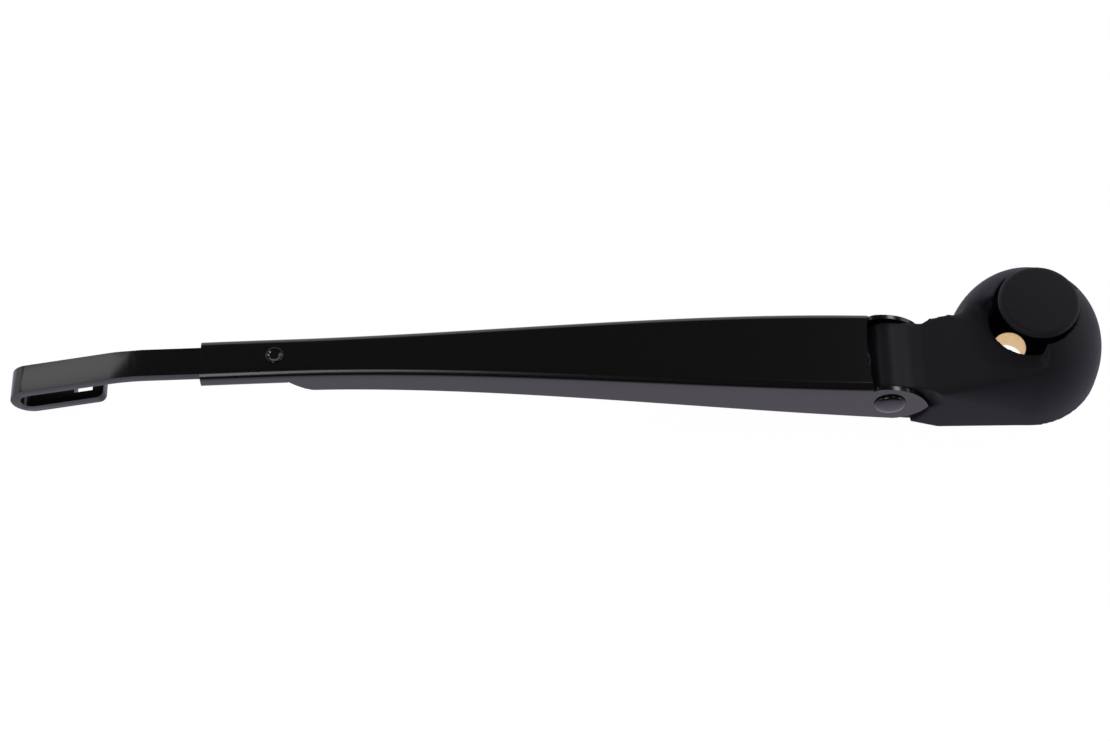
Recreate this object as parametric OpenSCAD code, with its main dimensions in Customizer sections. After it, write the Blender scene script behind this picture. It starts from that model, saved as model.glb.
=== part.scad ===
// Rear wiper arm: moulded head with a nut well, hinged steel channel, tension spring and J hook strip.
// Origin on the spindle axis at the underside of the head, +Z up, the arm lying towards -X.

/* [Spindle seat] */
// Diameter of the spindle bore in the metal insert
spindle_d = 9.8; // [8:0.1:11]
// Radial wall of the metal insert
insert_wall = 2.4; // [1.8:0.1:3]
// Height of the metal insert, whose top is flush with the well's floor
insert_h = 8; // [6:0.5:9]
// Plastic boss around the insert
boss_wall = 2; // [1.5:0.1:2.5]
// Plastic floor of the nut well outside the boss
floor_t = 3; // [2:0.5:4]

/* [Head dome] */
// Radius of the dome at its foot
dome_r = 23.3; // [22:0.1:26]
// Height of the straight wall at the foot of the dome
dome_wall_h = 4.7; // [3:0.1:7]
// Rise of the dome from the straight wall to its pole
dome_rise = 30.6; // [28:0.1:34]
// Distance of the dome axis beyond the spindle axis
dome_shift = 4.3; // [2.5:0.1:5]
// Radius of the round nut well
well_r = 12.5; // [12:0.1:13.5]
// Plastic wall of the well and of the neck
wall = 2.4; // [2:0.1:3]
// Depth of the moulding pockets in the underside
pocket_h = 12; // [8:0.5:13]
// Thickness of the ribs in the pockets
rib_t = 1.6; // [1.2:0.1:2.2]
// Number of ribs under the dome
rib_count = 7; // [5:1:9]

/* [Neck] */
// Offset of the arm's centre line from the spindle axis
arm_offset = 9.6; // [8:0.1:11]
// Height of the neck's deck where it meets the hinge barrel
deck_h = 19.4; // [18.5:0.1:20]
// Slope of the deck, rising towards the dome
deck_slope = 8.9; // [7:0.1:10]
// Distance that the near side leans back up to the deck
neck_lean = 0.5; // [0.2:0.1:1]
// Distance from the hinge axis to the deck's start
deck_back = 10; // [9:0.1:11]
// Distance from the hinge axis to the start of the neck's near side, below the ear
neck_back = 5; // [4:0.1:7]
// Amount that the near side of the neck stands outside the channel's ear
neck_proud = 0.7; // [0.4:0.1:1.4]
// Amount that the far side of the neck stands inside the channel's ear
neck_inset = 0.6; // [0.3:0.1:1.2]
// Length of the far side before it flares into the dome
flare_start = 10.8; // [8:0.1:13]
// Width that the flare adds where it meets the dome
flare_w = 7; // [6:0.1:9]
// Distance past the spindle axis at which the open front of the well ends
window_end = 6.2; // [5:0.1:9]
// Direction from the well's axis to the far corner of its open front, in degrees from the arm
window_far = 22; // [15:0.5:50]
// Length of the slanted lead under the hinge end of the neck
bevel_l = 10.6; // [8:0.1:12]
// Height of the slanted lead
bevel_h = 4.3; // [3:0.1:5]
// Distance from the hinge axis to the start of the lead between the ears
web_back = 3; // [2:0.1:5]
// Height of the lead between the ears at its start
web_h = 2; // [1.5:0.1:4.3]

/* [Cap] */
// Radius of the cap's disc
cap_r = 12.1; // [11.5:0.1:12.2]
// Thickness of the cap's disc
cap_t = 2.4; // [2.2:0.1:3.2]
// Radius of the cap's rounded rim
cap_edge_r = 1.8; // [1:0.1:1.8]
// Slanted lead round the underside of the cap's rim
cap_lead = 0.5; // [0.3:0.1:0.6]
// Height of the crown of the cap's top above its rim
cap_crown = 0.4; // [0.2:0.1:0.8]
// Thickness of the cap's top over the hollow underneath
cap_skin = 1.4; // [1:0.1:1.8]
// Height of the half-open cap above the rim of the well
cap_lift = 0.25; // [0.2:0.05:0.5]
// Shift of the half-open cap from the well's axis towards its hinge
cap_shift = 1.3; // [1:0.1:1.3]
// Direction of the cap's hinge from the well's axis, in degrees
cap_dir = 45; // [40:1:60]
// Distance of the cap's pin outside the wall of the well
cap_pin_out = 1.3; // [1.1:0.1:1.5]
// Depth of the cap's pin below the rim of the well
cap_pin_drop = 4.6; // [4.4:0.1:4.8]
// Diameter of the cap's pin
cap_pin_d = 1.6; // [1.2:0.1:1.8]
// Length of the cap's pin that sits in the head, each side
pin_seat_l = 2.5; // [2:0.1:3]
// Wall of the cap's lug round its pin
lug_wall = 0.8; // [0.7:0.1:1]
// Radial running clearance of the cap on its pin
cap_clearance = 0.05; // [0.02:0.01:0.09]
// Width of the cap's hinge lug
lug_w = 6; // [5:0.5:8]
// Gap at each side of the lug
lug_gap = 0.3; // [0.2:0.05:0.4]

/* [Hinge] */
// Distance of the hinge axis from the spindle axis
hinge_reach = 38.5; // [37:0.5:42]
// Height of the hinge axis
hinge_h = 13.7; // [13:0.1:14.2]
// Diameter of the hinge pin
hinge_pin_d = 5; // [4:0.1:5.4]
// Radial running clearance of the hinge pin in the head
hinge_clearance = 0.05; // [0.02:0.01:0.09]
// Radius of the hinge barrel
barrel_r = 6.9; // [6.4:0.1:7.2]
// Gap between each ear of the channel and the barrel's side
ear_gap = 0.3; // [0.2:0.05:0.5]
// Distance that the ears reach past the hinge axis
ear_reach = 11.6; // [10.5:0.1:12]
// Height of the hinge axis above the tips of the ears
ear_tip_drop = 2; // [1.5:0.1:2.6]
// Radial room in the head round the sweep of the ears
ear_room = 0.5; // [0.4:0.05:0.8]
// Depth of the slanted lead beside each ear
dish_lead = 4; // [3:0.1:4.5]
// Rise of the edge of that lead from the ear's tip, in degrees
lead_angle = 41; // [35:1:50]
// Diameter of the hinge pin's visible head
rivet_head_d = 9.4; // [7:0.1:11]
// Radius by which the riveted end on the far side is smaller
rivet_tail_less = 0.7; // [0:0.1:1]
// Height of the hinge pin's domed head
rivet_head_h = 1.4; // [0.8:0.1:2]

/* [Channel] */
// Length of the channel from its mouth to the hinge axis
channel_l = 203.5; // [180:0.5:230]
// Thickness of the sheet
sheet = 1.3; // [1:0.1:1.5]
// Outside width at the hinge
hinge_w = 25.8; // [24:0.1:28]
// Sideways play of the strip in the channel's mouth, each side
strip_play = 0.6; // [0.3:0.05:0.7]
// Gap between the strip and the channel's top
strip_seat = 0.2; // [0.1:0.05:0.3]
// Gap between the strip and the folded lips
strip_under = 0.55; // [0.1:0.05:0.8]
// Height of the channel's top at its mouth
mouth_top = 22.8; // [20:0.1:24]
// Height of the channel's top at its hinge end
hinge_top = 23.1; // [22.5:0.1:24]
// Rise of the top between its ends, above a straight line
top_crown = 2.8; // [0.5:0.1:3.5]
// Length of the part that is closed round the strip
crimp_l = 26; // [20:0.5:32]
// Length of the curved step where the side walls deepen
step_l = 7; // [4:0.5:12]
// Depth of the side walls after the step
wall_d_step = 10; // [8:0.1:11]
// How late the side walls deepen towards the hinge, where 1 is a straight edge
wall_curve = 1.6; // [1:0.1:2]
// Depth of the side walls at the hinge
wall_d_hinge = 17.4; // [16:0.1:18]
// Outside radius of the folded corners
corner_r = 2.4; // [1.8:0.1:3.2]
// Distance from the hinge axis to the end of the top sheet
top_back = 5.8; // [5:0.1:7]
// Radius of the hollow edge at the end of the top sheet
top_end_r = 69; // [50:1:90]
// Width of each lip that is folded under the strip
lip_w = 3; // [2.4:0.1:3.2]

/* [Hook strip] */
// Width of the strip
strip_w = 9; // [8:0.5:10]
// Thickness of the strip
strip_t = 3; // [2.5:0.1:3.5]
// Length of strip between the channel's mouth and the bend
strip_out = 22.5; // [18:0.5:40]
// Length of strip inside the channel
strip_in = 42; // [34:1:50]
// Downward angle of the hook below the strip
hook_drop = 12; // [10:0.5:16]
// Length of the hook from the bend to its round end's centre
hook_l = 32.3; // [22:0.1:34]
// Clear height inside the hook
hook_gap = 6.2; // [5:0.1:8]
// Length of the hook's lower leg beyond the round end's centre
hook_leg = 21.7; // [16:0.1:26]
// Length of the latch slot in the lower leg
latch_l = 6; // [4:0.5:8]
// Radius of the corners at the end of the lower leg
leg_corner_r = 2; // [0.5:0.1:3]
// Width of the latch slot
latch_w = 3.4; // [2.5:0.1:4]
// Distance of the latch slot's centre from the end of the lower leg
latch_back = 6.5; // [6:0.5:12]
// Drop of the strip's inner end to the spring's axis
joggle = 2.6; // [1.5:0.1:3]
// Length over which the strip drops
joggle_l = 6; // [5:0.5:8]
// Length of the strip's end tab, which holds the spring
tab_l = 9; // [8:0.5:12]
// Distance of the spring's hole from the end of the tab
tab_hole_back = 3.2; // [3:0.1:4]

/* [Strip rivet] */
// Distance of the strip rivet from the channel's mouth
strip_rivet_in = 22; // [12:0.5:23]
// Diameter of the strip rivet's shank
strip_rivet_d = 3.2; // [2.5:0.1:3.4]
// Diameter of the strip rivet's head
strip_rivet_head_d = 5.3; // [4.6:0.1:5.6]
// Height of the strip rivet's head
strip_rivet_head_h = 0.5; // [0.3:0.1:0.9]

/* [Spring] */
// Outside diameter of the spring's coil
spring_d = 6.6; // [5.4:0.1:7]
// Diameter of the spring wire
wire_d = 1.3; // [1:0.1:1.5]
// Length of the coiled part
coil_l = 100; // [80:1:106]
// Mean radius of the spring's end loops
loop_r = 2.6; // [2.4:0.1:2.8]
// Distance of the spring's anchor pin behind the hinge axis
anchor_back = 6; // [5.6:0.1:6.4]
// Distance of the anchor pin below the hinge axis
anchor_drop = 3.4; // [3:0.1:3.8]
// Diameter of the anchor pin
anchor_d = 3; // [2.6:0.1:3.2]
// Radius of the boss round the anchor pin
anchor_boss_r = 3.6; // [3.2:0.1:4]
// Thickness of the link plate
link_t = 2.4; // [1.8:0.1:2.8]
// Height of the link plate
link_h = 4; // [3.4:0.1:4.4]
// Radial play of the link's eye on the anchor pin
link_play = 0.15; // [0.1:0.05:0.2]
// Wall of the link's eye
link_wall = 1.2; // [1:0.1:1.4]
// Gap between the link and the cheeks and bottom of its slot in the head
link_room = 0.5; // [0.4:0.05:0.6]
// Largest lift of the arm in degrees
lift_max = 65; // [55:1:68]

/* [Hidden] */
$fn = 96;

// Slack that keeps two pieces of one body apart where they fit together
fit = 0.02;
// Amount by which a cutter runs past the face that it cuts
over = 1;

arm_y = -arm_offset;
hinge_x = -hinge_reach;
mouth_x = hinge_x - channel_l;
hinge_pin_r = hinge_pin_d / 2;
anchor_r = anchor_d / 2;
anchor_x = hinge_x - anchor_back;
anchor_z = hinge_h - anchor_drop;

// Nut well and cap
insert_r = spindle_d / 2 + insert_wall;
rim_z = dome_wall_h + dome_rise * sqrt(1 - pow(well_r / dome_r, 2));
cap_bottom = rim_z + cap_lift;
cap_pin_x = well_r + cap_pin_out;
cap_pin_z = rim_z - cap_pin_drop;
cap_pin_l = lug_w + 2 * pin_seat_l;
lug_r = cap_pin_d / 2 + lug_wall;

// Neck
barrel_w = hinge_w - 2 * sheet - 2 * ear_gap;
neck_near = arm_y - hinge_w / 2 - neck_proud;
neck_far = arm_y + hinge_w / 2 - neck_inset;
deck_x0 = hinge_x + deck_back;
dish_r = ear_reach + ear_room;
slot_w = link_t + 2 * link_room;

// Channel
mouth_w = strip_w + 2 * strip_play + 2 * sheet;
mouth_d = 2 * sheet + strip_t + strip_seat + strip_under;
top_end_x = hinge_x - top_back;
step_x = mouth_x + crimp_l;
wall_x = step_x + step_l;
// The loft runs past the ears, whose outline is then cut out of it
ear_end_x = hinge_x + ear_reach + 2;
// Facets in each folded corner
corner_n = 5;

function ease(u) = u <= 0 ? 0 : u >= 1 ? 1 : u * u * (3 - 2 * u);
function along(x) = (x - mouth_x) / (top_end_x - mouth_x);
function channel_w(x) = mouth_w + (hinge_w - mouth_w) * ease((x - step_x) / (top_end_x - step_x));
function channel_top(x) = let (u = along(x))
    mouth_top + (hinge_top - mouth_top) * u + 4 * top_crown * u * (1 - u);
function wall_d(x) = mouth_d + (wall_d_step - mouth_d) * ease((x - step_x) / step_l)
    + (wall_d_hinge - wall_d_step) * pow(max(0, (x - wall_x) / (top_end_x - wall_x)), wall_curve);

// Strip: straight along the chord under the channel's top
strip_end_x = mouth_x + strip_in;
strip_tilt = atan((channel_top(strip_end_x) - mouth_top) / strip_in);
strip_mouth_z = mouth_top - sheet - strip_seat;
hook_r = strip_t + hook_gap / 2;

// Spring line from the strip's hole to the anchor pin
spring_x0 = strip_end_x + joggle_l + tab_l - tab_hole_back;
spring_z0 = strip_mouth_z - strip_t / 2 + (spring_x0 - mouth_x) * tan(strip_tilt) - joggle;
spring_tilt = atan((spring_z0 - anchor_z) / (anchor_x - spring_x0));
spring_l = sqrt(pow(anchor_x - spring_x0, 2) + pow(spring_z0 - anchor_z, 2));
link_l = spring_l - coil_l - 3 * loop_r;
link_hole_r = wire_d / 2 + 0.45;

// Path of the anchor pin seen from the lifting arm: the link slides along its chord
anchor_reach = sqrt(pow(anchor_back, 2) + pow(anchor_drop, 2));
anchor_from = atan2(-anchor_drop, -anchor_back);
chord_angle = anchor_from + lift_max / 2 + 90;
path_sag = anchor_reach * (1 - cos(lift_max / 2));
link_eye_r = anchor_r + link_play + link_wall;

module across(w, y = arm_y) {
    translate([0, y + w / 2, 0]) rotate([90, 0, 0]) linear_extrude(w) children();
}

// Sheet lofted through sections, each of which runs along its outer face and back along its inner face
module skin(sections) {
    n = len(sections[0]);
    m = len(sections);
    last = (m - 1) * n;
    polyhedron(
        points = [for (s = sections) each s],
        faces = concat(
            [for (j = [0:n / 2 - 2]) each [[j, j + 1, n - 2 - j], [j, n - 2 - j, n - 1 - j]]],
            [for (j = [0:n / 2 - 2]) each [[last + j + 1, last + j, last + n - 2 - j],
                                           [last + n - 2 - j, last + j, last + n - 1 - j]]],
            [for (i = [0:m - 2], j = [0:n - 1]) let (k = (j + 1) % n)
                [i * n + k, i * n + j, (i + 1) * n + k]],
            [for (i = [0:m - 2], j = [0:n - 1]) let (k = (j + 1) % n)
                [(i + 1) * n + k, i * n + j, (i + 1) * n + j]]
        )
    );
}

function arc(cy, cz, r, a, b) =
    [for (i = [0:corner_n]) let (t = a + (b - a) * i / corner_n) [cy + r * cos(t), cz + r * sin(t)]];

// Open U section of the channel, seen from the head
function open_section(w, top, low) = let (h = w / 2, r = corner_r) concat(
    [[h, low]],
    arc(h - r, top - r, r, 0, 90),
    arc(r - h, top - r, r, 90, 180),
    [[-h, low], [sheet - h, low]],
    arc(r - h, top - r, r - sheet, 180, 90),
    arc(h - r, top - r, r - sheet, 90, 0),
    [[h - sheet, low]]);

// Section of the mouth, with its lips folded under the strip
function closed_section(w, top, low) = let (h = w / 2, r = corner_r, q = sheet + 0.2) concat(
    [[h - lip_w, low]],
    arc(h - q, low + q, q, 270, 360),
    arc(h - r, top - r, r, 0, 90),
    arc(r - h, top - r, r, 90, 180),
    arc(q - h, low + q, q, 180, 270),
    [[lip_w - h, low], [lip_w - h, low + sheet]],
    arc(q - h, low + q, q - sheet, 270, 180),
    arc(r - h, top - r, r - sheet, 180, 90),
    arc(h - r, top - r, r - sheet, 90, 0),
    arc(h - q, low + q, q - sheet, 360, 270),
    [[h - lip_w, low + sheet]]);

function placed(x, section) = [for (p = section) [x, arm_y + p[0], p[1]]];
function open_at(x) = placed(x, open_section(channel_w(x), channel_top(x), channel_top(x) - wall_d(x)));
function closed_at(x) = placed(x, closed_section(mouth_w, channel_top(x), channel_top(x) - mouth_d));

// Ear outline: two arcs that meet in a point ahead of the hinge
module ear_outline() {
    tip = [ear_reach, -ear_tip_drop];
    upper_centre = [-1.6, -5.5];
    lower_centre = [0.1, 3.7];
    intersection() {
        translate(upper_centre) circle(norm(tip - upper_centre));
        translate(lower_centre) circle(norm(tip - lower_centre));
    }
}

module arm_channel() color([0.06, 0.06, 0.06]) difference() {
    union() {
        skin([for (i = [0:3]) closed_at(mouth_x + crimp_l * i / 3)]);
        skin(concat(
            [for (i = [0:7]) open_at(step_x + step_l * i / 7)],
            [for (i = [1:17]) open_at(wall_x + (ear_end_x - wall_x) * i / 17)]));
    }
    // Everything past the end of the top sheet but the two ears
    translate([hinge_x, 0, hinge_h]) across(2 * hinge_w) difference() {
        translate([-top_back, -hinge_w]) square([2 * hinge_w, 2 * hinge_w]);
        ear_outline();
    }
    // Hollow edge at the end of the top sheet
    translate([top_end_x + top_end_r - 1, arm_y, hinge_top - corner_r])
        cylinder(h = 10, r = top_end_r, $fn = 360);
    translate([hinge_x, 0, hinge_h]) across(2 * hinge_w) circle(hinge_pin_r + fit);
    translate([mouth_x + strip_rivet_in, arm_y, mouth_top - mouth_d])
        cylinder(h = 3 * mouth_d, r = strip_rivet_d / 2 + fit);
}

// Outline of the hook, from the bend down and round to the end of the lower leg
module hook_outline() {
    translate([-hook_l, -strip_t]) square([hook_l, strip_t]);
    translate([-hook_l, -hook_r]) difference() {
        circle(hook_r);
        circle(hook_gap / 2);
        translate([0, -hook_r - over]) square(2 * hook_r + 2 * over);
    }
    translate([-hook_l, -2 * hook_r]) square([hook_leg, strip_t]);
}

module strip_outline() {
    // Bend between the strip and the hook
    translate([mouth_x - strip_out * cos(strip_tilt), strip_mouth_z - strip_out * sin(strip_tilt)]) {
        rotate(strip_tilt) {
            translate([0, -strip_t]) square([strip_out + strip_in, strip_t]);
            translate([strip_in + strip_out, -strip_t])
                polygon([[0, 0], [joggle_l, -joggle], [joggle_l + tab_l, -joggle],
                         [joggle_l + tab_l, strip_t - joggle], [joggle_l, strip_t - joggle], [0, strip_t]]);
        }
        intersection() {
            translate([0, -strip_t]) circle(strip_t);
            translate([-strip_t, -strip_t / 2]) square(2 * strip_t);
        }
        rotate(strip_tilt + hook_drop) hook_outline();
    }
}

module hook_strip() color([0.06, 0.06, 0.06]) difference() {
    across(strip_w) strip_outline();
    translate([mouth_x - strip_out * cos(strip_tilt), arm_y, strip_mouth_z - strip_out * sin(strip_tilt)])
        rotate([0, -strip_tilt - hook_drop, 0])
        translate([hook_leg - hook_l, 0, -2 * hook_r - over]) {
            translate([-latch_back - latch_l / 2, -latch_w / 2, 0])
                cube([latch_l, latch_w, strip_t + 2 * over]);
            // Rounded corners at the end of the leg
            for (side = [0, 1]) mirror([0, side, 0])
                translate([-leg_corner_r, strip_w / 2 - leg_corner_r, 0]) difference() {
                    cube([2 * leg_corner_r, 2 * leg_corner_r, strip_t + 2 * over]);
                    translate([0, 0, -over]) cylinder(h = strip_t + 4 * over, r = leg_corner_r);
                }
        }
    translate([mouth_x + strip_rivet_in, arm_y, mouth_top - mouth_d])
        cylinder(h = 3 * mouth_d, r = strip_rivet_d / 2 + fit);
    translate([spring_x0, arm_y, spring_z0 - 2 * strip_t])
        cylinder(h = 4 * strip_t, r = wire_d / 2 + 1);
}

module strip_rivet() color([0.06, 0.06, 0.06]) {
    shank = strip_rivet_d / 2;
    rim = strip_rivet_head_d / 2;
    // The channel's top slopes under the head, and the strip under the tail
    seat_z = 0.12;
    tail_z = -sheet - strip_t - strip_seat - 0.25;
    tail_w = 0.8;
    translate([mouth_x + strip_rivet_in, arm_y, channel_top(mouth_x + strip_rivet_in)])
        rotate_extrude() polygon([
            [0, tail_z - 1], [shank + tail_w / 2, tail_z - 1], [shank + tail_w, tail_z - 0.5],
            [shank + tail_w, tail_z], [shank, tail_z], [shank, seat_z],
            [rim, seat_z], [rim, strip_rivet_head_h / 2],
            [rim - 0.4, strip_rivet_head_h], [rim - 0.8, strip_rivet_head_h],
            [rim - 1.1, 0.15], [1, 0.15], [0.7, 0.35], [0, 0.4]]);
}

module spring_axis() {
    translate([spring_x0, arm_y, spring_z0]) rotate([0, spring_tilt, 0]) children();
}

module end_loop() {
    rotate_extrude($fn = 48) translate([loop_r, 0]) circle(wire_d / 2, $fn = 24);
}

module tension_spring() color([0.45, 0.45, 0.47]) spring_axis() {
    coil_r = spring_d / 2;
    turns = floor(coil_l / wire_d);
    pitch = coil_l / turns;
    // Close-wound coil, as one turned sleeve with a round ridge for each turn
    translate([1.5 * loop_r, 0, 0]) rotate([0, 90, 0]) rotate_extrude($fn = 48) polygon(concat(
        [[coil_r - wire_d, 0]],
        [for (i = [0:turns - 1], k = [0:3]) let (a = 22.5 + 45 * k)
            [coil_r - wire_d / 2 + wire_d / 2 * sin(a), pitch * (i + 0.5 - 0.5 * cos(a))]],
        [[coil_r - wire_d, coil_l]]));
    // End loops that rise out of the end turns: upright in the strip's hole, flat in the link's
    translate([loop_r, 0, 0]) rotate([90, 0, 0]) end_loop();
    translate([spring_l - link_l - loop_r, 0, 0]) end_loop();
}

// The link lies between the spring's flat loop and the anchor pin, which it hooks from the far side
module spring_link() color([0.45, 0.45, 0.47])
    translate([anchor_x, 0, anchor_z]) across(link_t) difference() {
        rotate(-spring_tilt) union() {
            circle(link_eye_r);
            translate([-link_l, -link_h / 2]) square([link_l, link_h]);
            translate([-link_l, 0]) circle(link_h / 2);
        }
        circle(anchor_r + link_play);
        rotate(chord_angle) translate([-anchor_r - link_play, -2 * link_h])
            square([anchor_d + 2 * link_play, 2 * link_h]);
        rotate(-spring_tilt) translate([-link_l, 0]) circle(link_hole_r);
    }

module hinge_pin() color([0.06, 0.06, 0.06]) {
    outer = hinge_w / 2;
    dome = 1.6 * rivet_head_d;
    translate([hinge_x, arm_y, hinge_h]) rotate([90, 0, 0]) {
        for (side = [0, 1]) mirror([0, 0, side]) translate([0, 0, outer])
            rotate_extrude() intersection() {
                translate([0, fit]) square([rivet_head_d / 2 - side * rivet_tail_less, rivet_head_h]);
                translate([0, rivet_head_h - dome]) circle(dome, $fn = 200);
            }
        translate([0, 0, -outer - 5 * fit]) cylinder(h = 2 * outer + 10 * fit, r = hinge_pin_r);
    }
}

module anchor_pin() color([0.45, 0.45, 0.47])
    translate([anchor_x, 0, anchor_z]) across(barrel_w - 0.4) circle(anchor_r);

module dome_outline() {
    n = 28;
    polygon(concat([[0, 0], [dome_r, 0]], [for (i = [0:n]) let (a = 90 * i / n)
        [dome_r * cos(a), dome_wall_h + dome_rise * sin(a)]]));
}

// Height of the deck's plane above the base at a given place along the arm
function deck_at(x) = deck_h + (x - deck_x0) * tan(deck_slope);

module below_deck() {
    start = hinge_x - 2 * deck_back;
    across(8 * dome_r, 0)
        polygon([[start, -over], [dome_r, -over], [dome_r, deck_at(dome_r)], [start, deck_at(start)]]);
}

// Plan of the neck's far side, which runs into the flank of the dome
module neck_back_plan() {
    polygon([[deck_x0, arm_y], [deck_x0, neck_far],
             [deck_x0 + flare_start, neck_far + flare_w * 0.24],
             [deck_x0 + flare_start * 1.57, neck_far + flare_w * 0.67],
             [deck_x0 + flare_start * 2.27, neck_far + flare_w], [0, arm_y]]);
}

// Front of the neck: a wall that leans back as it runs into the flank of the dome
module neck_front() {
    hull() {
        translate([dome_shift, 0, 0]) intersection() {
            scale(0.995) rotate_extrude($fn = 48) dome_outline();
            translate([-dome_r, -dome_r, 0]) cube([2 * dome_r, dome_r, deck_at(dome_shift) + 3]);
        }
        translate([hinge_x + neck_back, neck_near, 0]) cube([2, arm_y - neck_near, 2]);
        translate([hinge_x + neck_back, neck_near + neck_lean, 0])
            cube([2, arm_y - neck_near - neck_lean, deck_h + 2]);
    }
}

module neck() {
    intersection() {
        union() {
            neck_front();
            linear_extrude(rim_z) neck_back_plan();
        }
        below_deck();
    }
}

module hinge_barrel() {
    translate([hinge_x, 0, hinge_h]) across(barrel_w) {
        circle(barrel_r);
        translate([-anchor_back, -anchor_drop]) circle(anchor_boss_r);
        // A little narrower than the boss, which it runs into
        rotate(anchor_from) translate([0, fit - anchor_boss_r])
            square([anchor_reach, 2 * anchor_boss_r - 2 * fit]);
    }
    // Web from the barrel back into the neck
    web_end = hinge_x + neck_back + bevel_l + 2;
    across(barrel_w) polygon([
        [hinge_x, hinge_h + barrel_r], [deck_x0, deck_h], [web_end, deck_at(web_end)], [web_end, 0],
        [hinge_x + neck_back + bevel_l, 0], [hinge_x + web_back, web_h], [hinge_x, hinge_h - barrel_r]]);
}

// Room for the link between the two cheeks of the barrel, for every lift of the arm
module link_slot() {
    reach = 8 * link_h;
    far_dir = 180 - spring_tilt - lift_max - 4;
    half = link_h / 2 + link_room;
    translate([anchor_x, 0, anchor_z]) across(slot_w) {
        circle(link_eye_r + path_sag + link_room);
        rotate(far_dir) translate([0, -half]) square([reach, 2 * half]);
        polygon([[0, 0], [reach * cos(far_dir), reach * sin(far_dir)],
                 [-reach, reach * 0.4], [-reach, -reach], [0, -reach]]);
    }
}

module well() {
    translate([dome_shift, 0, insert_h]) cylinder(h = 2 * rim_z, r = well_r);
}

// Open front of the well, above the deck: the dome ends in an upright face at window_end
module window() {
    start = hinge_x - 2 * deck_back;
    // The far corner lies inside the well, clear of its wall
    corner_at = well_r - 1;
    intersection() {
        linear_extrude(2 * rim_z) polygon([
            [start, -2 * dome_r], [window_end, -2 * dome_r], [window_end, 0],
            [dome_shift - corner_at * cos(window_far), corner_at * sin(window_far)],
            [deck_x0 + deck_back, neck_far + 2.6], [start, neck_far + 2.6]]);
        across(8 * dome_r, 0) polygon([
            [start, deck_at(start)], [dome_r, deck_at(dome_r)],
            [dome_r, 2 * rim_z], [start, 2 * rim_z]]);
    }
}

module pockets() {
    ring_arc = 236;
    rib_arc = 200;
    inner = well_r + wall;
    outer = dome_r - wall;
    // Ring under the dome, divided by ribs
    translate([dome_shift, 0, -over]) difference() {
        rotate([0, 0, -ring_arc / 2]) rotate_extrude(angle = ring_arc)
            translate([inner, 0]) square([outer - inner, pocket_h + over]);
        for (i = [0:rib_count - 1]) rotate([0, 0, rib_arc * (i / (rib_count - 1) - 0.5)])
            translate([inner - over, -rib_t / 2, -over]) cube([outer, rib_t, pocket_h + 3 * over]);
    }
    // Below the floor of the well
    difference() {
        translate([dome_shift, 0, -over]) cylinder(h = insert_h - floor_t + over, r = well_r - 10 * fit);
        translate([0, 0, -2 * over]) cylinder(h = 40, r = insert_r + boss_wall);
    }
    // Below the neck
    for (side = [0, 1]) translate([0, arm_y, 0]) mirror([0, side, 0]) translate([0, rib_t / 2, 0])
        translate([deck_x0 + 7, 0, -over])
            cube([9, (neck_far - neck_near - rib_t) / 2 - wall - neck_lean, pocket_h + over]);
}

module head() color([0.11, 0.11, 0.12]) difference() {
    union() {
        difference() {
            union() {
                translate([dome_shift, 0, 0]) rotate_extrude() dome_outline();
                neck();
            }
            // Room for the ears at both sides of the neck, with a slanted lead above their tips
            for (side = [0, 1]) translate([hinge_x, arm_y, hinge_h]) mirror([0, side, 0])
                translate([0, barrel_w / 2, 0]) {
                    rotate([-90, 0, 0]) cylinder(h = 4 * dome_r, r = dish_r);
                    intersection() {
                        rotate([-90, 0, 0]) cylinder(h = hinge_w / 2 + neck_proud + 0.2 - barrel_w / 2,
                                                     r1 = dish_r, r2 = dish_r + dish_lead);
                        translate([dish_r, 0, -ear_tip_drop]) rotate([0, -lead_angle, 0])
                            translate([-4 * dish_r, -over, 0]) cube([8 * dish_r, 4 * dish_r, 4 * dish_r]);
                    }
                }
            // Slanted lead under the hinge end
            across(4 * dome_r) polygon([
                [hinge_x - 2 * deck_back, -over], [hinge_x + neck_back + bevel_l, -over],
                [hinge_x + neck_back + bevel_l, 0], [hinge_x + neck_back, bevel_h],
                [hinge_x - 2 * deck_back, bevel_h]]);
            well();
            window();
        }
        hinge_barrel();
    }
    translate([0, 0, -over]) cylinder(h = insert_h + 2 * over, r = insert_r + fit);
    translate([hinge_x, 0, hinge_h]) across(2 * hinge_w) circle(hinge_pin_r + hinge_clearance);
    translate([anchor_x, 0, anchor_z]) across(2 * hinge_w) circle(anchor_r + fit);
    link_slot();
    pockets();
    // Notch for the cap's lug, and the seat of its pin
    at_cap_hinge() {
        translate([well_r - 2.5, -lug_w / 2 - lug_gap, cap_pin_z - lug_r - lug_gap])
            cube([2 * dome_r, lug_w + 2 * lug_gap, 2 * dome_r]);
        translate([cap_pin_x, 0, cap_pin_z]) across(cap_pin_l + 2 * fit, 0) circle(cap_pin_d / 2 + fit);
    }
}

module spindle_insert() color([0.78, 0.55, 0.4]) difference() {
    cylinder(h = insert_h, r = insert_r);
    translate([0, 0, -over]) cylinder(h = insert_h + 2 * over, r = spindle_d / 2);
}

// Turns and shifts its children to the cap's hinge: +X away from the well, Y along the pin
module at_cap_hinge() {
    translate([dome_shift, 0, 0]) rotate([0, 0, cap_dir]) children();
}

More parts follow.
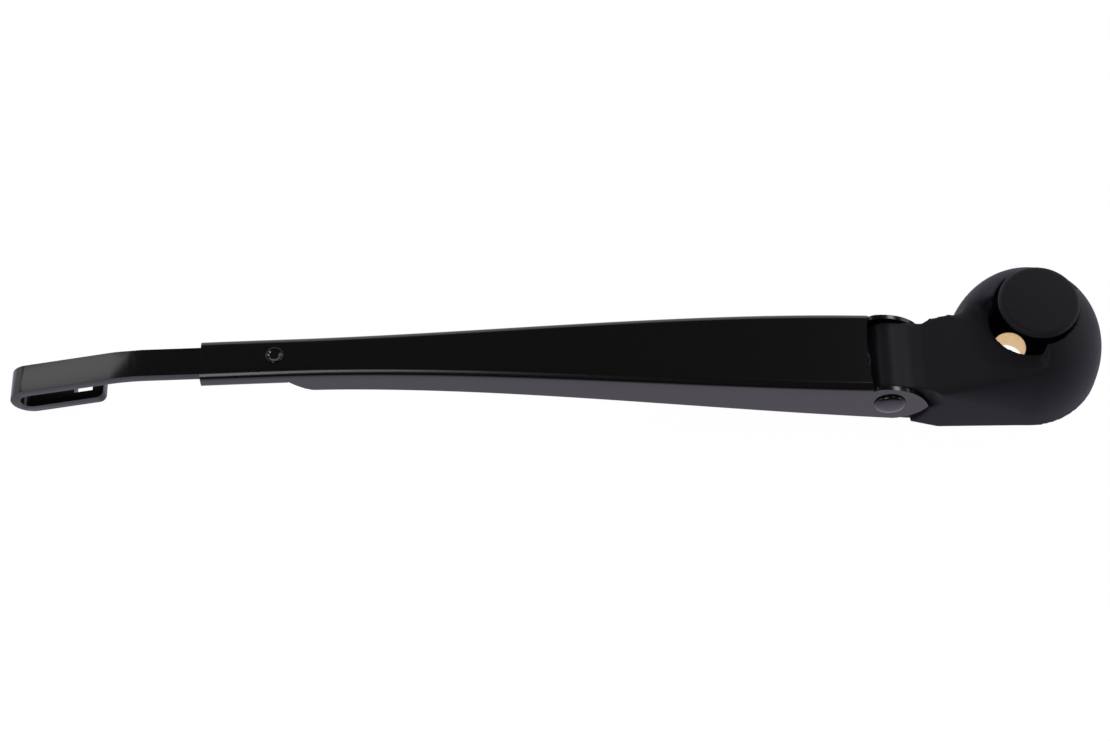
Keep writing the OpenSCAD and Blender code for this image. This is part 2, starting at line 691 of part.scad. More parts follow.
module cap_half_section() {
    crown_r = (pow(cap_r - cap_edge_r, 2) + pow(cap_crown, 2)) / (2 * cap_crown);
    edge_z = cap_t - cap_edge_r;
    difference() {
        union() {
            intersection() {
                translate([cap_r - cap_edge_r, edge_z]) circle(cap_edge_r);
                translate([0, edge_z]) square([cap_r, cap_edge_r]);
            }
            polygon([[0, 0], [cap_r - cap_lead, 0], [cap_r, cap_lead], [cap_r, edge_z], [0, edge_z]]);
            square([cap_r - cap_edge_r, cap_t]);
            intersection() {
                translate([0, cap_t + cap_crown - crown_r]) circle(crown_r, $fn = 720);
                translate([0, edge_z]) square([cap_r - cap_edge_r, cap_t]);
            }
        }
        translate([0, -over]) square([cap_r - cap_edge_r, cap_t - cap_skin + over]);
    }
}

module nut_cap() color([0.11, 0.11, 0.12]) at_cap_hinge() {
    difference() {
        union() {
            translate([cap_shift, 0, cap_bottom]) rotate_extrude() cap_half_section();
            // Lug from the disc down to the pin
            across(lug_w, 0) {
                translate([cap_pin_x, cap_pin_z]) circle(lug_r);
                polygon([[cap_pin_x - lug_r, cap_pin_z], [cap_pin_x + lug_r, cap_pin_z],
                         [cap_shift + cap_r - 0.2, cap_bottom], [cap_shift + cap_r - 0.8, cap_bottom + 0.5],
                         [cap_pin_x - lug_r - 1, cap_bottom + 0.5]]);
            }
        }
        translate([cap_pin_x, 0, cap_pin_z]) across(2 * cap_pin_l, 0) circle(cap_pin_d / 2 + cap_clearance);
    }
}

module cap_pin() color([0.45, 0.45, 0.47]) at_cap_hinge()
    translate([cap_pin_x, 0, cap_pin_z]) across(cap_pin_l, 0) circle(cap_pin_d / 2);

head();
spindle_insert();
nut_cap();
cap_pin();
hinge_pin();
anchor_pin();
arm_channel();
hook_strip();
strip_rivet();
tension_spring();
spring_link();
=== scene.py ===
import math

import bmesh
import bpy
from mathutils import Matrix, Vector


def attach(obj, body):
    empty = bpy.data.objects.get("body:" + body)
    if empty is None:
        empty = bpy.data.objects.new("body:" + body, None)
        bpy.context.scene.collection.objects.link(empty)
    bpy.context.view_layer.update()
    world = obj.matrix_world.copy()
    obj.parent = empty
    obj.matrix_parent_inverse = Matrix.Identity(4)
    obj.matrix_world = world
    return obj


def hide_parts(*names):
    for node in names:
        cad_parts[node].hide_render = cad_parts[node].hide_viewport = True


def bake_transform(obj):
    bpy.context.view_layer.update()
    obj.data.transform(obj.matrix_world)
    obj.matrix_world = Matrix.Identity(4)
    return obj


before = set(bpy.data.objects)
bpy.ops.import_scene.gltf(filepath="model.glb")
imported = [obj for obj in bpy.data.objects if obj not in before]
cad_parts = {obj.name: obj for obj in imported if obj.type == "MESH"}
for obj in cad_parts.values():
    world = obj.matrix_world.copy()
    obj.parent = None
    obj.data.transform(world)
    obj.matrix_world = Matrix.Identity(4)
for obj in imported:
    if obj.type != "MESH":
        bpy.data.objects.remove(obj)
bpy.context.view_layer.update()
mm = 0.001
print("frame loaded")

# Places that several pieces share, in millimetres
arm = {"hingeX": -38.5, "hingeZ": 13.7, "centreY": -9.6, "mouthX": -242.0}


def addObject(name, mesh):
    made = bpy.data.objects.new(name, mesh)
    bpy.context.scene.collection.objects.link(made)
    return made


def finishPiece(bm, name, material, body, node):
    mesh = bpy.data.meshes.new(name)
    bm.to_mesh(mesh)
    bm.free()
    mesh.shade_smooth()
    mesh.materials.append(material)
    made = addObject(name, mesh)
    if body:
        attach(made, body)
    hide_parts(node)
    return made


def keepSharp(piece, angle=35):
    # Edges that turn by more than this angle stay sharp in the shading
    piece.data.set_sharp_from_angle(angle=math.radians(angle))


# Materials: one class for a value on a wire, one for the material that it belongs to
class Wire:
    def __init__(self, finish, socket):
        self.finish = finish
        self.socket = socket

    def maths(self, operation, first, second):
        return self.finish.node("ShaderNodeMath", {"operation": operation}, {0: first, 1: second})

    def __add__(self, other):
        return self.maths("ADD", self, other)

    def __sub__(self, other):
        return self.maths("SUBTRACT", self, other)

    def __rsub__(self, other):
        return self.maths("SUBTRACT", other, self)

    def __mul__(self, other):
        return self.maths("MULTIPLY", self, other)

    __radd__ = __add__
    __rmul__ = __mul__


class Finish:
    def __init__(self, name, tree=None):
        self.material = None if tree else bpy.data.materials.new(name)
        if self.material:
            self.material.use_nodes = True
            tree = self.material.node_tree
        tree.nodes.clear()
        self.tree = tree

    def node(self, kind, settings=None, sockets=None, out=0):
        made = self.tree.nodes.new(kind)
        for key, value in (settings or {}).items():
            setattr(made, key, value)
        for key, value in (sockets or {}).items():
            if isinstance(value, Wire):
                self.tree.links.new(value.socket, made.inputs[key])
            else:
                made.inputs[key].default_value = value
        return Wire(self, made.outputs[out]) if made.outputs else None

    def coords(self):
        return self.node("ShaderNodeTexCoord", out="Object")

    def axis(self, name):
        # Place along one axis, in millimetres
        return self.node("ShaderNodeSeparateXYZ", {}, {0: self.coords()}, out=name) * (1 / mm)

    def noise(self, size, detail=2.0, rough=0.5):
        # size is the width of a feature in millimetres
        sockets = {"Vector": self.coords(), "Scale": 1 / (size * mm), "Detail": detail, "Roughness": rough}
        return self.node("ShaderNodeTexNoise", {}, sockets, out="Fac")

    def ramp(self, value, low, high):
        sockets = {"Value": value, "From Min": low, "From Max": high}
        return self.node("ShaderNodeMapRange", {"interpolation_type": "SMOOTHSTEP"}, sockets)

    def mixColour(self, factor, first, second):
        first, second = (c if isinstance(c, Wire) else (*c, 1) for c in (first, second))
        sockets = {"Factor": factor, 6: first, 7: second}
        return self.node("ShaderNodeMix", {"data_type": "RGBA"}, sockets, out=2)

    def bump(self, height, distance):
        # distance is the depth of the pattern in millimetres
        sockets = {"Height": height, "Distance": distance * mm, "Strength": 1.0}
        return self.node("ShaderNodeBump", {}, sockets)

    def glossy(self, sockets):
        # A finished material with this one surface
        return self.surface(self.node("ShaderNodeBsdfPrincipled", {}, sockets))

    def surface(self, shader):
        self.node("ShaderNodeOutputMaterial", {}, {"Surface": shader})
        return self.material


def darker(colour, share):
    return tuple(c * share for c in colour)


plasticLook = {"dark": (0.0072, 0.0072, 0.0108), "pale": (0.0128, 0.0128, 0.0180), "cloud": 9, "grain": 0.42,
               "grainDepth": 0.045, "roughness": 0.54, "shine": 0.22, "ior": 1.46,
               "barrelRoughness": 0.36, "barrelEnd": -31.5, "barrelFade": 1.5, "barrelGrain": 0.8}


def makePlastic():
    # Grained moulding, smoother on the hinge barrel
    look = plasticLook
    f = Finish("headPlastic")
    clouds = f.noise(look["cloud"], 3)
    grain = f.noise(look["grain"], 2.5, 0.6)
    barrel = 1 - f.ramp(f.axis("X"), look["barrelEnd"] - look["barrelFade"], look["barrelEnd"])
    smoother = look["roughness"] - look["barrelRoughness"]
    return f.glossy({
        "Base Color": f.mixColour(clouds * 0.6 + grain * 0.4, look["dark"], look["pale"]),
        "Roughness": look["roughness"] + clouds * 0.1 - barrel * smoother,
        "Normal": f.bump(grain * (1 - barrel * look["barrelGrain"]), look["grainDepth"]),
        "IOR": look["ior"], "Specular IOR Level": look["shine"]})


paintLook = {"colour": (0.0022, 0.0022, 0.0020), "dust": 0.5, "dustShare": 1.8, "roughness": 0.15,
             "dustRoughness": 0.06, "peel": 2.2, "peelDepth": 0.003, "ior": 1.5}


def makePaint():
    look = paintLook
    f = Finish("blackPaint")
    peel = f.noise(look["peel"], 2)
    dust = f.noise(look["dust"], 3)
    return f.glossy({
        "Base Color": f.mixColour(dust, look["colour"], darker(look["colour"], look["dustShare"])),
        "Roughness": look["roughness"] + dust * look["dustRoughness"],
        "Normal": f.bump(peel, look["peelDepth"]), "IOR": look["ior"]})


copperLook = {"colour": (0.98, 0.74, 0.33), "blotch": 1.5, "blotchShare": 0.85,
              "blackened": (0.012, 0.012, 0.013), "roughness": 0.32, "blotchRoughness": 0.12,
              "toolMarks": 0.18, "markDepth": 0.004, "topZ": 7.85, "topFade": 0.1}


def makeCopper():
    # Bare copper wall with turning marks, black on the bush's end
    look = copperLook
    f = Finish("bushCopper")
    scale = 0.3 / (look["toolMarks"] * mm)
    sockets = {"Vector": f.coords(), "Scale": scale, "Distortion": 1.5, "Detail": 2.0}
    marks = f.node("ShaderNodeTexWave", {"bands_direction": "Z"}, sockets, out="Fac")
    inBore = 1 - f.ramp(f.axis("Z"), look["topZ"] - look["topFade"], look["topZ"])
    blotch = f.noise(look["blotch"], 3)
    bare = f.mixColour(blotch, look["colour"], darker(look["colour"], look["blotchShare"]))
    return f.glossy({
        "Base Color": f.mixColour(inBore, look["blackened"], bare), "Metallic": inBore,
        "Roughness": look["roughness"] + blotch * look["blotchRoughness"],
        "Normal": f.bump(marks, look["markDepth"])})


steelLook = {"colour": (0.56, 0.56, 0.55), "blotch": 1.2, "blotchShare": 0.72, "roughness": 0.34,
             "blotchRoughness": 0.15, "grain": 0.2, "grainDepth": 0.003}


def makeSteel():
    look = steelLook
    f = Finish("zincSteel")
    blotch = f.noise(look["blotch"], 4, 0.6)
    return f.glossy({
        "Base Color": f.mixColour(blotch, look["colour"], darker(look["colour"], look["blotchShare"])),
        "Metallic": 1.0, "Roughness": look["roughness"] + blotch * look["blotchRoughness"],
        "Normal": f.bump(f.noise(look["grain"], 2), look["grainDepth"])})


plastic = makePlastic()
paint = makePaint()
copper = makeCopper()
steel = makeSteel()
for node in ("cap_pin", "anchor_pin", "spring_link"):
    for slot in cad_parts[node].material_slots:
        slot.material = steel
print("finishes made")


# Helpers for shapes
def cadCopy(node):
    bm = bmesh.new()
    bm.from_mesh(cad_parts[node].data)
    bmesh.ops.remove_doubles(bm, verts=bm.verts, dist=0.001 * mm)
    return bm


def evenFaces(bm, voxel):
    # The same shape in small even faces, so that its edges can be softened
    mesh = bpy.data.meshes.new("even")
    bm.to_mesh(mesh)
    bm.free()
    made = addObject("even", mesh)
    remesh = made.modifiers.new("even", "REMESH")
    remesh.mode = "VOXEL"
    remesh.voxel_size = voxel * mm
    graph = bpy.context.evaluated_depsgraph_get()
    bm = bmesh.new()
    bm.from_mesh(made.evaluated_get(graph).to_mesh())
    bpy.data.objects.remove(made)
    bpy.data.meshes.remove(mesh)
    return bm


def soften(bm, roundsAt):
    # Smooths each vertex as many times as roundsAt says for its place
    rounds = {v: roundsAt(v.co / mm) for v in bm.verts}
    for step in range(max(rounds.values())):
        bmesh.ops.smooth_vert(bm, verts=[v for v, n in rounds.items() if n > step], factor=0.5,
                              use_axis_x=True, use_axis_y=True, use_axis_z=True)


def turned(profile, steps=96):
    # profile is a list of (radius, height) in millimetres, turned about Z
    bm = bmesh.new()
    verts = [bm.verts.new((r * mm, 0, z * mm)) for r, z in profile]
    edges = [bm.edges.new(pair) for pair in zip(verts, verts[1:])]
    bmesh.ops.spin(bm, geom=verts + edges, cent=(0, 0, 0), axis=(0, 0, 1), dvec=(0, 0, 0), angle=2 * math.pi,
                   steps=steps, use_merge=True, use_normal_flip=False, use_duplicate=False)
    bmesh.ops.remove_doubles(bm, verts=bm.verts, dist=0.0005 * mm)
    bmesh.ops.recalc_face_normals(bm, faces=bm.faces)
    return bm


def joinFlatFaces(bm):
    bmesh.ops.dissolve_limit(bm, angle_limit=math.radians(0.4), use_dissolve_boundaries=False,
                             verts=bm.verts, edges=bm.edges, delimit=set())


def roundEdges(bm, edges, width, segments):
    bmesh.ops.bevel(bm, geom=edges, offset=width * mm, offset_type="OFFSET", segments=segments, profile=0.5,
                    affect="EDGES", clamp_overlap=True, material=-1)


# Head: it is softened by rounds of smoothing, more or fewer by place
head = {"voxel": 0.44, "outside": 9,
        "barrel": 2, "barrelEnd": -25.5, "neckEnd": -21, "neckTop": 12,
        "base": 2, "baseTop": 1.2,
        "well": 2, "wellX": 4.3, "wellR": 12.5, "wellSkin": 0.4, "wellTop": 26, "wellEnd": 20, "clear": 0.8,
        "deckX": -28.5, "deckH": 19.4, "deckSlope": 8.9,
        "sweep": 142, "sweepStart": -20, "sweepEnd": -3, "sweepY": 4.6, "sweepReach": 5.5, "sweepDepth": 3,
        "sweepFade": 2.5, "sweepLead": 3,
        "crease": 45, "creaseY": -15, "creaseReach": 3.2, "creaseLead": 4,
        "step": 52, "stepX": 6.2, "stepY": -8, "stepReach": 5, "stepDepth": 2.5}


def deckZ(x):
    return head["deckH"] + (x - head["deckX"]) * math.tan(math.radians(head["deckSlope"]))


def headRounds(p):
    h = head
    fromWell = math.hypot(p.x - h["wellX"], p.y) - h["wellR"]
    if p.x < h["barrelEnd"] or (p.x < h["neckEnd"] and p.z < h["neckTop"]):
        return h["barrel"]
    if p.z < h["baseTop"]:
        return h["base"]
    if fromWell < h["wellSkin"] and p.z < h["wellTop"] and p.x < h["wellEnd"]:
        return h["well"]
    rounds = h["outside"]
    above = p.z - deckZ(p.x)
    if fromWell > h["clear"] and h["sweepStart"] < p.x < h["sweepEnd"] and above > -h["sweepDepth"]:
        # Where the deck sweeps up into the dome at the far side
        near = math.hypot(p.y - h["sweepY"], min(0, above)) / h["sweepReach"]
        atWell = min(1, (fromWell - h["clear"]) / h["sweepFade"])
        atStart = min(1, (p.x - h["sweepStart"]) / h["sweepLead"])
        rounds = max(rounds, int(h["sweep"] * max(0, 1 - near ** 2) * atWell * atStart))
    if p.y < h["creaseY"] and abs(above) < h["creaseReach"]:
        # Where the deck meets the near wall
        atStart = min(1, (p.x - h["barrelEnd"]) / h["creaseLead"])
        rounds = max(rounds, int(h["crease"] * (1 - abs(above) / h["creaseReach"]) * atStart))
    fromStep = abs(p.x - h["stepX"])
    if p.y < h["stepY"] and fromWell > h["clear"] and above > -h["stepDepth"] and fromStep < h["stepReach"]:
        # Where the window's sill runs out in the dome's wall
        rounds = max(rounds, int(h["step"] * (1 - fromStep / h["stepReach"])))
    return rounds


bm = evenFaces(cadCopy("head"), head["voxel"])
soften(bm, headRounds)
finishPiece(bm, "headMoulding", plastic, "base", "head")
print("head made")

# Nut cap
cap = {"voxel": 0.3, "rounds": 4}
bm = evenFaces(cadCopy("nut_cap"), cap["voxel"])
soften(bm, lambda p: cap["rounds"])
finishPiece(bm, "capDisc", plastic, "cap", "nut_cap")
print("cap made")

# Bush: a plain ring with a lead at both ends of its bore
bush = {"bore": 4.9, "outer": 7.3, "height": 8.0, "lead": 0.35}
bm = turned([(bush["bore"], bush["lead"]), (bush["bore"] + bush["lead"], 0), (bush["outer"], 0),
             (bush["outer"], bush["height"]), (bush["bore"] + bush["lead"], bush["height"]),
             (bush["bore"], bush["height"] - bush["lead"]), (bush["bore"], bush["lead"])])
keepSharp(finishPiece(bm, "spindleBush", copper, "base", "spindle_insert"))

# Hinge pin: a shank with a domed head, and a smaller domed tail
pin = {"radius": 2.5, "head": 4.7, "tail": 4.0, "headH": 1.38, "half": 12.92, "rimH": 0.3, "bulge": 0.75,
       "domeSteps": 8, "steps": 72}


def rivetEnd(radius, base):
    # From the rim over the dome to the axis
    out = [(radius - 0.25, base + 0.02), (radius, base + 0.12)]
    for i in range(pin["domeSteps"] + 1):
        a = i / pin["domeSteps"] * math.pi / 2
        height = pin["rimH"] + (pin["headH"] - pin["rimH"]) * math.sin(a)
        out.append((radius * math.cos(a) ** pin["bulge"], base + height))
    return out


tail = [(r, -z) for r, z in reversed(rivetEnd(pin["tail"], pin["half"])[:-1])]
shank = [(pin["radius"], -pin["half"]), (pin["radius"], pin["half"])]
tailTop = (0, -pin["half"] - pin["headH"])
bm = turned([tailTop] + tail + shank + rivetEnd(pin["head"], pin["half"]), pin["steps"])
bm.transform(Matrix.Translation(Vector((arm["hingeX"], arm["centreY"], arm["hingeZ"])) * mm)
             @ Matrix.Rotation(math.radians(90), 4, "X"))
keepSharp(finishPiece(bm, "hingeRivet", paint, "arm", "hinge_pin"))
print("bush and hinge pin made")

# Channel: its outer face is drawn out row by row from the mouth to the hinge
channel = {"mouthW": 12.8, "hingeW": 25.8, "mouthTop": 22.8, "hingeTop": 23.1, "crown": 2.8,
           "mouthD": 6.35, "stepD": 10.0, "hingeD": 17.4, "curve": 1.6, "cornerR": 2.4,
           "crimpL": 26.0, "stepL": 7.0, "sheet": 1.3, "foldR": 1.5, "foldEnd": 2.5, "lipW": 3.0,
           "topBack": 5.8, "endR": 69.0, "endHollow": 1.0,
           "rows": 84, "wallCols": 4, "cornerCols": 6, "topCols": 4, "lipCols": 5,
           "edge": 0.35, "edgeSteps": 3, "edgeAngle": 50}
# Ears: two arcs about the hinge draw their upper and lower edges
ear = {"tip": 11.58, "upperR": 13.656, "upperX": -1.6, "upperZ": -5.5, "lowerR": 12.835, "lowerX": 0.1,
       "lowerZ": 3.7, "rise": 2.2, "rows": 14, "spacing": 1.6}
topEndX = arm["hingeX"] - channel["topBack"]
stepX = arm["mouthX"] + channel["crimpL"]
wallX = stepX + channel["stepL"]


def ease(u):
    u = min(1, max(0, u))
    return u * u * (3 - 2 * u)


def channelWidth(x):
    widening = ease((x - stepX) / (topEndX - stepX))
    return channel["mouthW"] + (channel["hingeW"] - channel["mouthW"]) * widening


def channelTop(x):
    u = (x - arm["mouthX"]) / (topEndX - arm["mouthX"])
    straight = channel["mouthTop"] + (channel["hingeTop"] - channel["mouthTop"]) * u
    return straight + 4 * channel["crown"] * u * (1 - u)


def wallDepth(x):
    c = channel
    return (c["mouthD"] + (c["stepD"] - c["mouthD"]) * ease((x - stepX) / c["stepL"])
            + (c["hingeD"] - c["stepD"]) * max(0, (x - wallX) / (topEndX - wallX)) ** c["curve"])


def wallFoot(x):
    # As far as the step the wall ends above the fold of its lip
    onFold = 1 - ease((x - stepX) / channel["foldEnd"])
    return channelTop(x) - wallDepth(x) + channel["foldR"] * onFold


def topEnd(y):
    # Hollow edge of the top sheet beside the hinge
    across = y - arm["centreY"]
    return topEndX + channel["endR"] - channel["endHollow"] - math.sqrt(channel["endR"] ** 2 - across ** 2)


def section(s):
    # Outer face at s of the length, from the near wall's foot over the top to the far wall's foot
    half = []
    c = channel
    x = arm["mouthX"] + (topEndX - arm["mouthX"]) * s
    w = channelWidth(x) / 2
    top = channelTop(x)
    r = c["cornerR"]
    for i in range(c["wallCols"]):
        half.append((w, wallFoot(x) + (top - r - wallFoot(x)) * i / c["wallCols"]))
    for i in range(c["cornerCols"] + 1):
        a = math.pi / 2 * i / c["cornerCols"]
        half.append((w - r + r * math.cos(a), top - r + r * math.sin(a)))
    for i in range(1, c["topCols"] + 1):
        half.append(((w - r) * (1 - i / c["topCols"]), top))
    points = []
    for across, z in [(-y, z) for y, z in half] + list(reversed(half[:-1])):
        y = across + arm["centreY"]
        points.append(Vector((arm["mouthX"] + (topEnd(y) - arm["mouthX"]) * s, y, z)) * mm)
    return points


def extrudeRow(bm, edges):
    # One more row of faces from a chain of edges, with the new vertex of each old one
    made = bmesh.ops.extrude_edge_only(bm, edges=edges)["geom"]
    newVerts = [g for g in made if isinstance(g, bmesh.types.BMVert)]
    newEdges = [g for g in made if isinstance(g, bmesh.types.BMEdge) and all(v in newVerts for v in g.verts)]
    twins = {}
    for vert in {v for edge in edges for v in edge.verts}:
        twins[vert] = next(e.other_vert(vert) for e in vert.link_edges if e.other_vert(vert) in newVerts)
    return twins, newEdges


def edgesOf(bm, verts):
    return [e for e in bm.edges if e.verts[0] in verts and e.verts[1] in verts]


bm = bmesh.new()
row = [bm.verts.new(p) for p in section(0)]
rowEdges = [bm.edges.new(pair) for pair in zip(row, row[1:])]
rows = [row]
for k in range(1, channel["rows"] + 1):
    s = k / channel["rows"]
    twins, rowEdges = extrudeRow(bm, rowEdges)
    row = [twins[v] for v in row]
    for vert, point in zip(row, section(s)):
        vert.co = point
    rows.append(row)


def earSpan(x):
    # Lower and upper edge of an ear
    dx = x - arm["hingeX"]
    upper = arm["hingeZ"] + ear["upperZ"] + math.sqrt(max(0, ear["upperR"] ** 2 - (dx - ear["upperX"]) ** 2))
    lower = arm["hingeZ"] + ear["lowerZ"] - math.sqrt(max(0, ear["lowerR"] ** 2 - (dx - ear["lowerX"]) ** 2))
    upper += (channelTop(topEndX) - channel["cornerR"] - upper) * (1 - ease((x - topEndX) / ear["rise"]))
    return max(lower, channelTop(x) - wallDepth(x)), upper


# The ears go on from the walls, and the lips are folded under the strip
wallCols = channel["wallCols"]
nearWall = rows[-1][:wallCols + 1]
farWall = rows[-1][-wallCols - 1:][::-1]
for chain in (nearWall, farWall):
    startX = chain[0].co.x / mm
    edges = edgesOf(bm, chain)
    for k in range(1, ear["rows"] + 1):
        left = (1 - k / ear["rows"]) ** ear["spacing"]
        x = startX + (arm["hingeX"] + ear["tip"] - startX) * (1 - left)
        low, high = earSpan(x)
        twins, edges = extrudeRow(bm, edges)
        chain = [twins[v] for v in chain]
        for i, vert in enumerate(chain):
            vert.co = Vector((x, vert.co.y / mm, low + (high - low) * i / wallCols)) * mm

lipRows = [r for r in rows if r[0].co.x / mm <= stepX]
for sign, place in ((-1, 0), (1, -1)):
    foot = [r[place] for r in lipRows]
    edges = edgesOf(bm, foot)
    for k in range(1, channel["lipCols"] + 2):
        twins, edges = extrudeRow(bm, edges)
        foot = [twins[v] for v in foot]
        for vert in foot:
            x = vert.co.x / mm
            y = channelWidth(x) / 2 - channel["lipW"]
            z = channelTop(x) - wallDepth(x)
            if k <= channel["lipCols"]:
                a = math.pi / 2 * k / channel["lipCols"]
                y = channelWidth(x) / 2 - channel["foldR"] * (1 - math.cos(a))
                z += channel["foldR"] * (1 - math.sin(a))
            vert.co = Vector((x, arm["centreY"] + sign * y, z)) * mm

bmesh.ops.remove_doubles(bm, verts=bm.verts, dist=0.02 * mm)
bmesh.ops.recalc_face_normals(bm, faces=bm.faces)
topFace = max(bm.faces, key=lambda face: face.calc_center_median().z)
if topFace.normal.z < 0:
    bmesh.ops.reverse_faces(bm, faces=bm.faces)
channelPiece = finishPiece(bm, "armChannel", paint, "arm", "arm_channel")
wall = channelPiece.modifiers.new("sheet", "SOLIDIFY")
wall.thickness = channel["sheet"] * mm
wall.offset = -1
wall.use_even_offset = True
rim = channelPiece.modifiers.new("rim", "BEVEL")
rim.width = channel["edge"] * mm
rim.segments = channel["edgeSteps"]
rim.limit_method = "ANGLE"
rim.angle_limit = math.radians(channel["edgeAngle"])
rim.harden_normals = False
channelPiece.modifiers.new("normals", "WEIGHTED_NORMAL").keep_sharp = True
print("channel made")

# Hook strip: its bend is rounded wider than the construction's, then its edges
strip = {"bendX": -264.49, "bendZ": 20.26, "bendSpanX": 1.6, "bendSpanZ": 0.5, "bendRound": 5.0,
         "bendSteps": 8, "edge": 0.55, "edgeSteps": 4, "edgeAngle": 30}
bm = cadCopy("hook_strip")
for vert in bm.verts:
    x, y, z = vert.co / mm
    if abs(x - strip["bendX"]) < strip["bendSpanX"] and abs(z - strip["bendZ"]) < strip["bendSpanZ"]:
        vert.co = Vector((strip["bendX"], y, strip["bendZ"])) * mm
bmesh.ops.remove_doubles(bm, verts=bm.verts, dist=0.001 * mm)
joinFlatFaces(bm)
bend = []
for edge in bm.edges:
    a, b = (v.co / mm for v in edge.verts)
    atBend = max(abs(a.x - strip["bendX"]), abs(b.x - strip["bendX"])) < 1
    if edge.is_manifold and atBend and abs(a.y - b.y) > 5:
        bend.append(edge)
roundEdges(bm, bend, strip["bendRound"], strip["bendSteps"])
joinFlatFaces(bm)
sharp = [e for e in bm.edges if e.is_manifold and e.calc_face_angle() > math.radians(strip["edgeAngle"])]
roundEdges(bm, sharp, strip["edge"], strip["edgeSteps"])
keepSharp(finishPiece(bm, "hookStrip", paint, "arm", "hook_strip"))

# Stake on the channel: a ring with a dish in it, and a foot under the strip
stake = {"x": arm["mouthX"] + 22, "shank": 1.6, "rim": 2.65, "seat": 0.05, "steps": 64,
         "foot": 2.4, "footTop": -6.2, "footEdge": -6.7, "footBottom": -7.2, "footLead": 0.4}
foot = [(0, stake["footBottom"]), (stake["foot"] - stake["footLead"], stake["footBottom"]),
        (stake["foot"], stake["footEdge"]), (stake["foot"], stake["footTop"]),
        (stake["shank"], stake["footTop"]), (stake["shank"], stake["seat"]), (stake["rim"], stake["seat"])]
ring = [(0.03, 0.25), (0.15, 0.4), (0.35, 0.47), (0.55, 0.44), (0.8, 0.34), (1.1, 0.2), (1.4, 0.1)]
dish = [(0.9, 0.06), (0.55, 0.07), (0.3, 0.12), (0, 0.15)]
bm = turned(foot + [(stake["rim"] - inwards, z) for inwards, z in ring] + dish, stake["steps"])
bm.transform(Matrix.Translation(Vector((stake["x"], arm["centreY"], channelTop(stake["x"]))) * mm))
keepSharp(finishPiece(bm, "stripStake", paint, "arm", "strip_rivet"))
print("strip and stake made")

# Spring: one wire wound in a coil, with a loop at each end
spring = {"coil": 6.6, "wire": 1.3, "length": 100.0, "loop": 2.6, "linkEnd": 36.206, "steady": 4,
          "start": (-188.2, -9.6, 19.682), "anchor": (-44.5, -9.6, 10.3),
          "wireSides": 8, "turnSteps": 14, "loopSteps": 40}
start = Vector(spring["start"])
anchor = Vector(spring["anchor"])
turns = int(spring["length"] / spring["wire"])
coilR = (spring["coil"] - spring["wire"]) / 2
coilStart = 1.5 * spring["loop"]


def wireCircle(bm, x, z, axis):
    # Cross-section of the wire at a place, square to its run
    matrix = Matrix.Translation(Vector((x, 0, z)) * mm) @ Matrix.Rotation(math.radians(90), 4, axis)
    made = bmesh.ops.create_circle(bm, cap_ends=False, segments=spring["wireSides"],
                                   radius=spring["wire"] / 2 * mm, matrix=matrix)
    return made["verts"] + list({e for v in made["verts"] for e in v.link_edges})


def wind(bm, geom, centreX, axis, turns, steps, pitch=0.0):
    bmesh.ops.spin(bm, geom=geom, cent=(centreX * mm, 0, 0), axis=axis, dvec=(pitch * mm, 0, 0),
                   angle=turns * 2 * math.pi, steps=steps, use_merge=pitch == 0, use_normal_flip=False,
                   use_duplicate=False)


bm = bmesh.new()
steps = turns * spring["turnSteps"]
geom = wireCircle(bm, coilStart + spring["wire"] / 2, coilR, "X")
wind(bm, geom, 0, (1, 0, 0), turns, steps, (spring["length"] - spring["wire"]) / steps)
linkLoop = (anchor - start).length - spring["linkEnd"] - spring["loop"]
for centreX, axis, facing in ((spring["loop"], (0, 1, 0), "Z"), (linkLoop, (0, 0, 1), "X")):
    geom = wireCircle(bm, centreX + spring["loop"], 0, facing)
    wind(bm, geom, centreX, axis, 1, spring["loopSteps"])
openEdges = [e for e in bm.edges if e.is_boundary]
bmesh.ops.holes_fill(bm, edges=openEdges, sides=0)
bmesh.ops.recalc_face_normals(bm, faces=bm.faces)
tilt = math.atan2(start.z - anchor.z, anchor.x - start.x)
bm.transform(Matrix.Translation(start * mm) @ Matrix.Rotation(tilt, 4, "Y"))
springPiece = finishPiece(bm, "coilSpring", steel, None, "tension_spring")
keepSharp(springPiece)
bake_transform(springPiece)
print("spring made")

# Floor, light and camera
# The lilac and the dark-to-light span on Y are painted reflection and painted shade, seen only in glossy
# rays
studio = {"floorSize": 6.0, "floorColour": (0.8, 0.8, 0.8), "floorGlow": 0.92, "paintedLilacReflection": (0.83, 0.76, 0.94),
          "seenGlow": 1.06, "reflectionShadeFrom": -95, "reflectionShadeEnd": -40, "sky": 0.08, "skyShown": 1.0}


def makeFloor():
    # White where the camera sees it. Glossy rays see a painted reflection in lilac, with painted shade
    # (black) in front of the arm
    f = Finish("paleFloor")
    fromCamera = f.node("ShaderNodeLightPath", out="Is Camera Ray")
    fromGloss = f.node("ShaderNodeLightPath", out="Is Glossy Ray")
    through = f.node("ShaderNodeLightPath", out="Is Transmission Ray")
    plain = f.node("ShaderNodeBsdfDiffuse", {}, {"Color": (*studio["floorColour"], 1)})
    # Painted shade in reflections: towards the camera the floor fades to black in glossy rays, so the
    # paint's near edges reflect dark
    near = f.ramp(f.axis("Y"), studio["reflectionShadeFrom"], studio["reflectionShadeEnd"])
    # Painted reflection: in glossy rays the floor is lilac, which gives the paint's side walls their lilac
    # sheen
    paintedFloorReflection = f.mixColour(near, (0, 0, 0), studio["paintedLilacReflection"])
    tint = f.mixColour(fromGloss, (1, 1, 1), paintedFloorReflection)
    white = f.node("ShaderNodeEmission", {}, {"Color": tint, "Strength": studio["seenGlow"]})
    glow = (fromCamera + fromGloss + through) * studio["floorGlow"]
    return f.surface(f.node("ShaderNodeMixShader", {}, {0: glow, 1: plain, 2: white}))


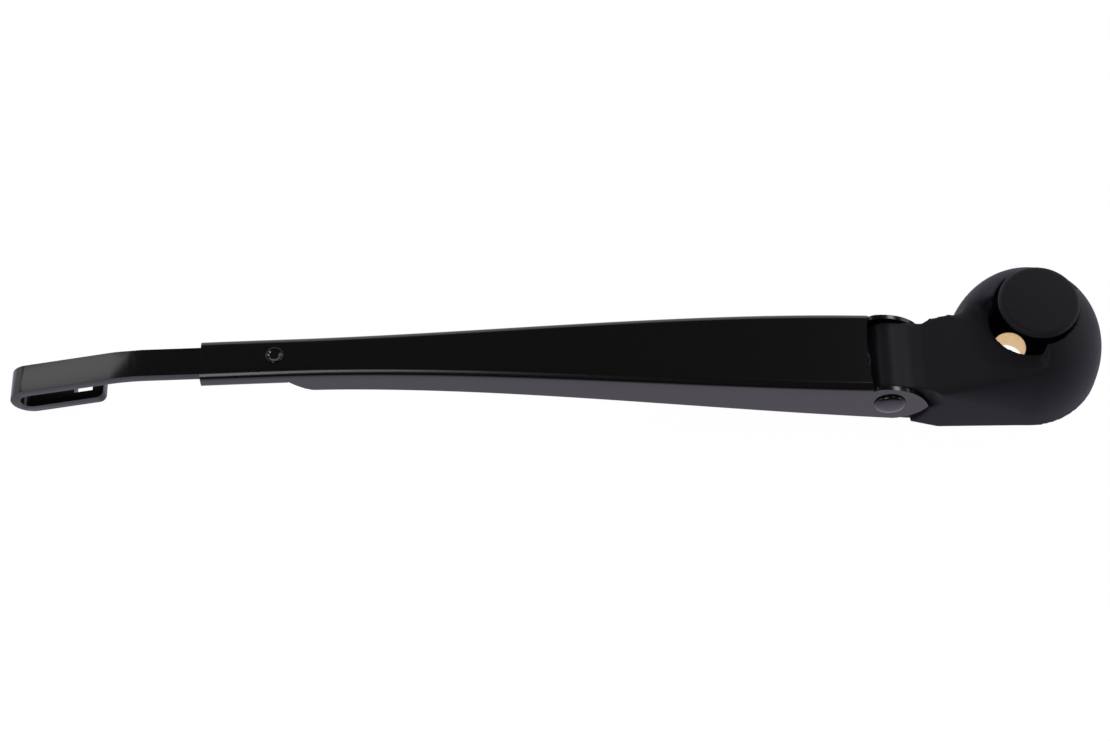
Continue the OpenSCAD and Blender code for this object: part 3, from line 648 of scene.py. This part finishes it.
bm = bmesh.new()
bmesh.ops.create_grid(bm, x_segments=1, y_segments=1, size=studio["floorSize"] / 2)
mesh = bpy.data.meshes.new("floor")
bm.to_mesh(mesh)
bm.free()
mesh.materials.append(makeFloor())
addObject("floor", mesh)

world = bpy.data.worlds.new("studio")
bpy.context.scene.world = world
world.use_nodes = True
w = Finish("studio", world.node_tree)
isSeen = w.node("ShaderNodeLightPath", out="Is Camera Ray")
strength = studio["sky"] + isSeen * (studio["skyShown"] - studio["sky"])
glow = w.node("ShaderNodeBackground", {}, {"Color": (1, 1, 1, 1), "Strength": strength})
w.node("ShaderNodeOutputWorld", {}, {"Surface": glow})

# Each lamp: its place, where it points, its width and height, and its power
lamps = {"back": ((-0.1, 1.5, 0.5), (-0.1, 0, 0.01), (3.2, 0.9), 10),
         "left": ((-1.7, 0.0, 0.45), (-0.1, 0, 0.01), (2.4, 0.8), 6),
         "right": ((1.5, 0.0, 0.45), (0, 0, 0.01), (2.4, 0.8), 8),
         "mouth": ((-0.56, -0.95, 0.75), (-0.27, -0.01, 0.02), (0.42, 0.8), 4.0),
         "hook": ((-1.09, 0.68, 0.93), (-0.29, -0.01, 0.02), (0.55, 0.5), 1.7),
         "band": ((0.62, 0.72, 1.05), (-0.035, -0.01, 0.02), (0.3, 0.3), 1.8),
         "spark": ((0.45, 0.1, 1.3), (-0.04, -0.02, 0.01), (0.12, 0.12), 1.4)}
for name, (place, aim, size, power) in lamps.items():
    data = bpy.data.lights.new(name, "AREA")
    data.shape = "RECTANGLE"
    data.size, data.size_y = size
    data.energy = power
    made = addObject(name, data)
    made.location = place
    made.rotation_euler = (Vector(aim) - Vector(place)).to_track_quat("-Z", "Y").to_euler()

camera = {"azimuth": -0.777, "elevation": 60.0, "distance": 0.819926, "target": (-0.137308, -0.002003, 0.0),
          "lens": 87.568, "sensor": 36}
az = math.radians(camera["azimuth"])
el = math.radians(camera["elevation"])
back = Vector((math.sin(az) * math.cos(el), -math.cos(az) * math.cos(el), math.sin(el)))
side = Vector((math.cos(az), math.sin(az), 0))
up = back.cross(side)
eye = Vector(camera["target"]) + back * camera["distance"]
cameraData = bpy.data.cameras.new("camera")
cameraData.lens = camera["lens"]
cameraData.sensor_width = camera["sensor"]
cameraData.clip_start = 0.01
cameraObject = addObject("camera", cameraData)
cameraObject.matrix_world = Matrix.Translation(eye) @ Matrix((side, up, back)).transposed().to_4x4()
bpy.context.scene.camera = cameraObject
bpy.context.scene.view_settings.view_transform = "Standard"
print("studio made")
